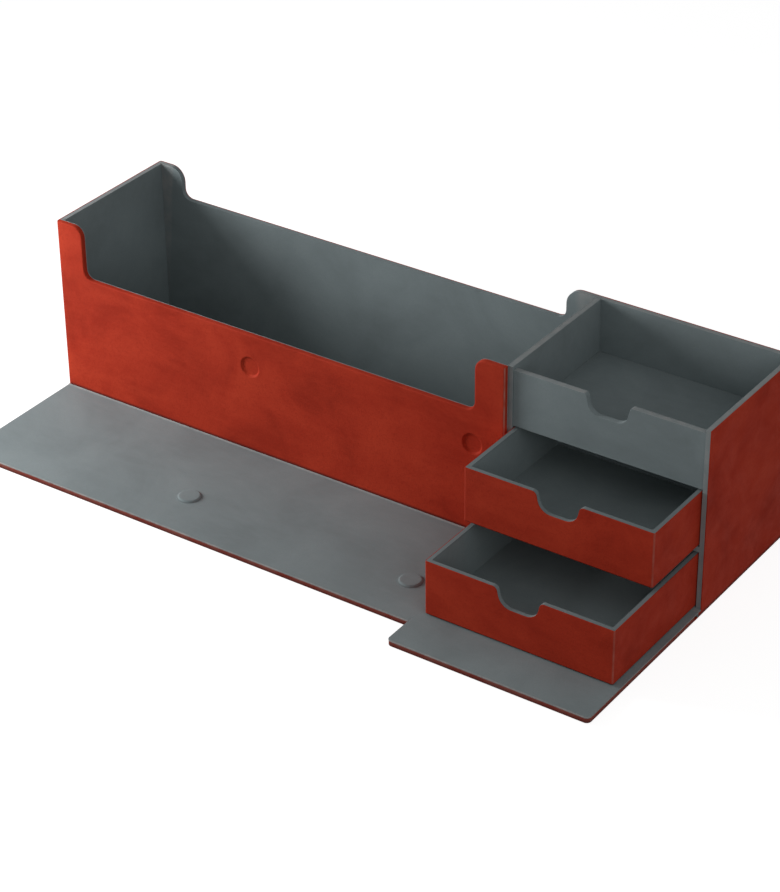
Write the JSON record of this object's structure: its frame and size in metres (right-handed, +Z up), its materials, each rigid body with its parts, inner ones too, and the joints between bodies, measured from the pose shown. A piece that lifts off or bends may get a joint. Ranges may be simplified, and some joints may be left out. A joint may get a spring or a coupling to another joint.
{
  "type": "card storage box",
  "caption": "Long lined card tray with a low-cut front and back, a side cabinet of stacked drawers under an open dice compartment, and a front flap that lies flat.",
  "frame": {"origin": "middle of the case's underside, on the surface that it stands on", "axes": "+X along the box towards the drawers, +Y from the flap to the back, +Z up"},
  "size_m": [0.38, 0.1836, 0.0995],
  "materials": {
    "red_leatherette": "mottled matt leatherette",
    "grey_microfibre": "short-nap microfibre",
    "grey_board": "cut grey board edge",
    "magnet_steel": "nickel plated"
  },
  "bodies": {
    "case": {"base_cover": "red_leatherette", "base_board": "grey_board", "tray_floor_lining": "grey_microfibre", "bay_floor_lining": "grey_microfibre", "left_end_cover": "red_leatherette", "left_end_board": "grey_board", "left_end_lining": "grey_microfibre", "right_end_cover": "red_leatherette", "right_end_board": "grey_board", "right_end_lining": "grey_microfibre", "divider_board": "grey_board", "divider_tray_lining": "grey_microfibre", "divider_cabinet_lining": "grey_microfibre", "tray_front_cover": "red_leatherette", "tray_front_board": "grey_board", "tray_front_lining": "grey_microfibre", "tray_front_magnets": "magnet_steel", "back_cover": "red_leatherette", "back_board": "grey_board", "tray_back_lining": "grey_microfibre", "cabinet_back_lining": "grey_microfibre", "shelf_board": "grey_board", "shelf_lining": "grey_microfibre", "compartment_floor_underside": "grey_microfibre", "compartment_floor_board": "grey_board", "compartment_floor_lining": "grey_microfibre", "compartment_front_facing": "grey_microfibre", "compartment_front_board": "grey_board", "compartment_front_lining": "grey_microfibre", "drawer_flap_cover": "red_leatherette", "drawer_flap_board": "grey_board", "drawer_flap_lining": "grey_microfibre", "tray_fold_cover": "red_leatherette", "tray_fold_lining": "grey_microfibre", "drawer_fold_cover": "red_leatherette", "drawer_fold_lining": "grey_microfibre"},
    "upper_drawer": {"upper_drawer_wrap": "red_leatherette", "upper_drawer_lining": "grey_microfibre", "upper_drawer_bottom_board": "grey_board", "upper_drawer_front_board": "grey_board", "upper_drawer_back_board": "grey_board", "upper_drawer_left_board": "grey_board", "upper_drawer_right_board": "grey_board"},
    "lower_drawer": {"lower_drawer_wrap": "red_leatherette", "lower_drawer_lining": "grey_microfibre", "lower_drawer_bottom_board": "grey_board", "lower_drawer_front_board": "grey_board", "lower_drawer_back_board": "grey_board", "lower_drawer_left_board": "grey_board", "lower_drawer_right_board": "grey_board"},
    "tray_flap": {"tray_flap_cover": "red_leatherette", "tray_flap_board": "grey_board", "tray_flap_lining": "grey_microfibre", "tray_flap_magnets": "magnet_steel"}
  },
  "joints": [
    {"name": "upper_drawer_slide", "type": "slide", "parent": "case", "child": "upper_drawer", "axis": [0, -1, 0], "range_m": [-0.0395, 0.0325]},
    {"name": "lower_drawer_slide", "type": "slide", "parent": "case", "child": "lower_drawer", "axis": [0, -1, 0], "range_m": [-0.072, 0]},
    {"name": "tray_flap_hinge", "type": "hinge", "parent": "case", "child": "tray_flap", "pos_m": [-0.054, -0.04455, 0.0015], "axis": [-1, 0, 0], "range_deg": [0, 90], "deforming": ["tray_fold_cover", "tray_fold_lining"]}
  ]
}
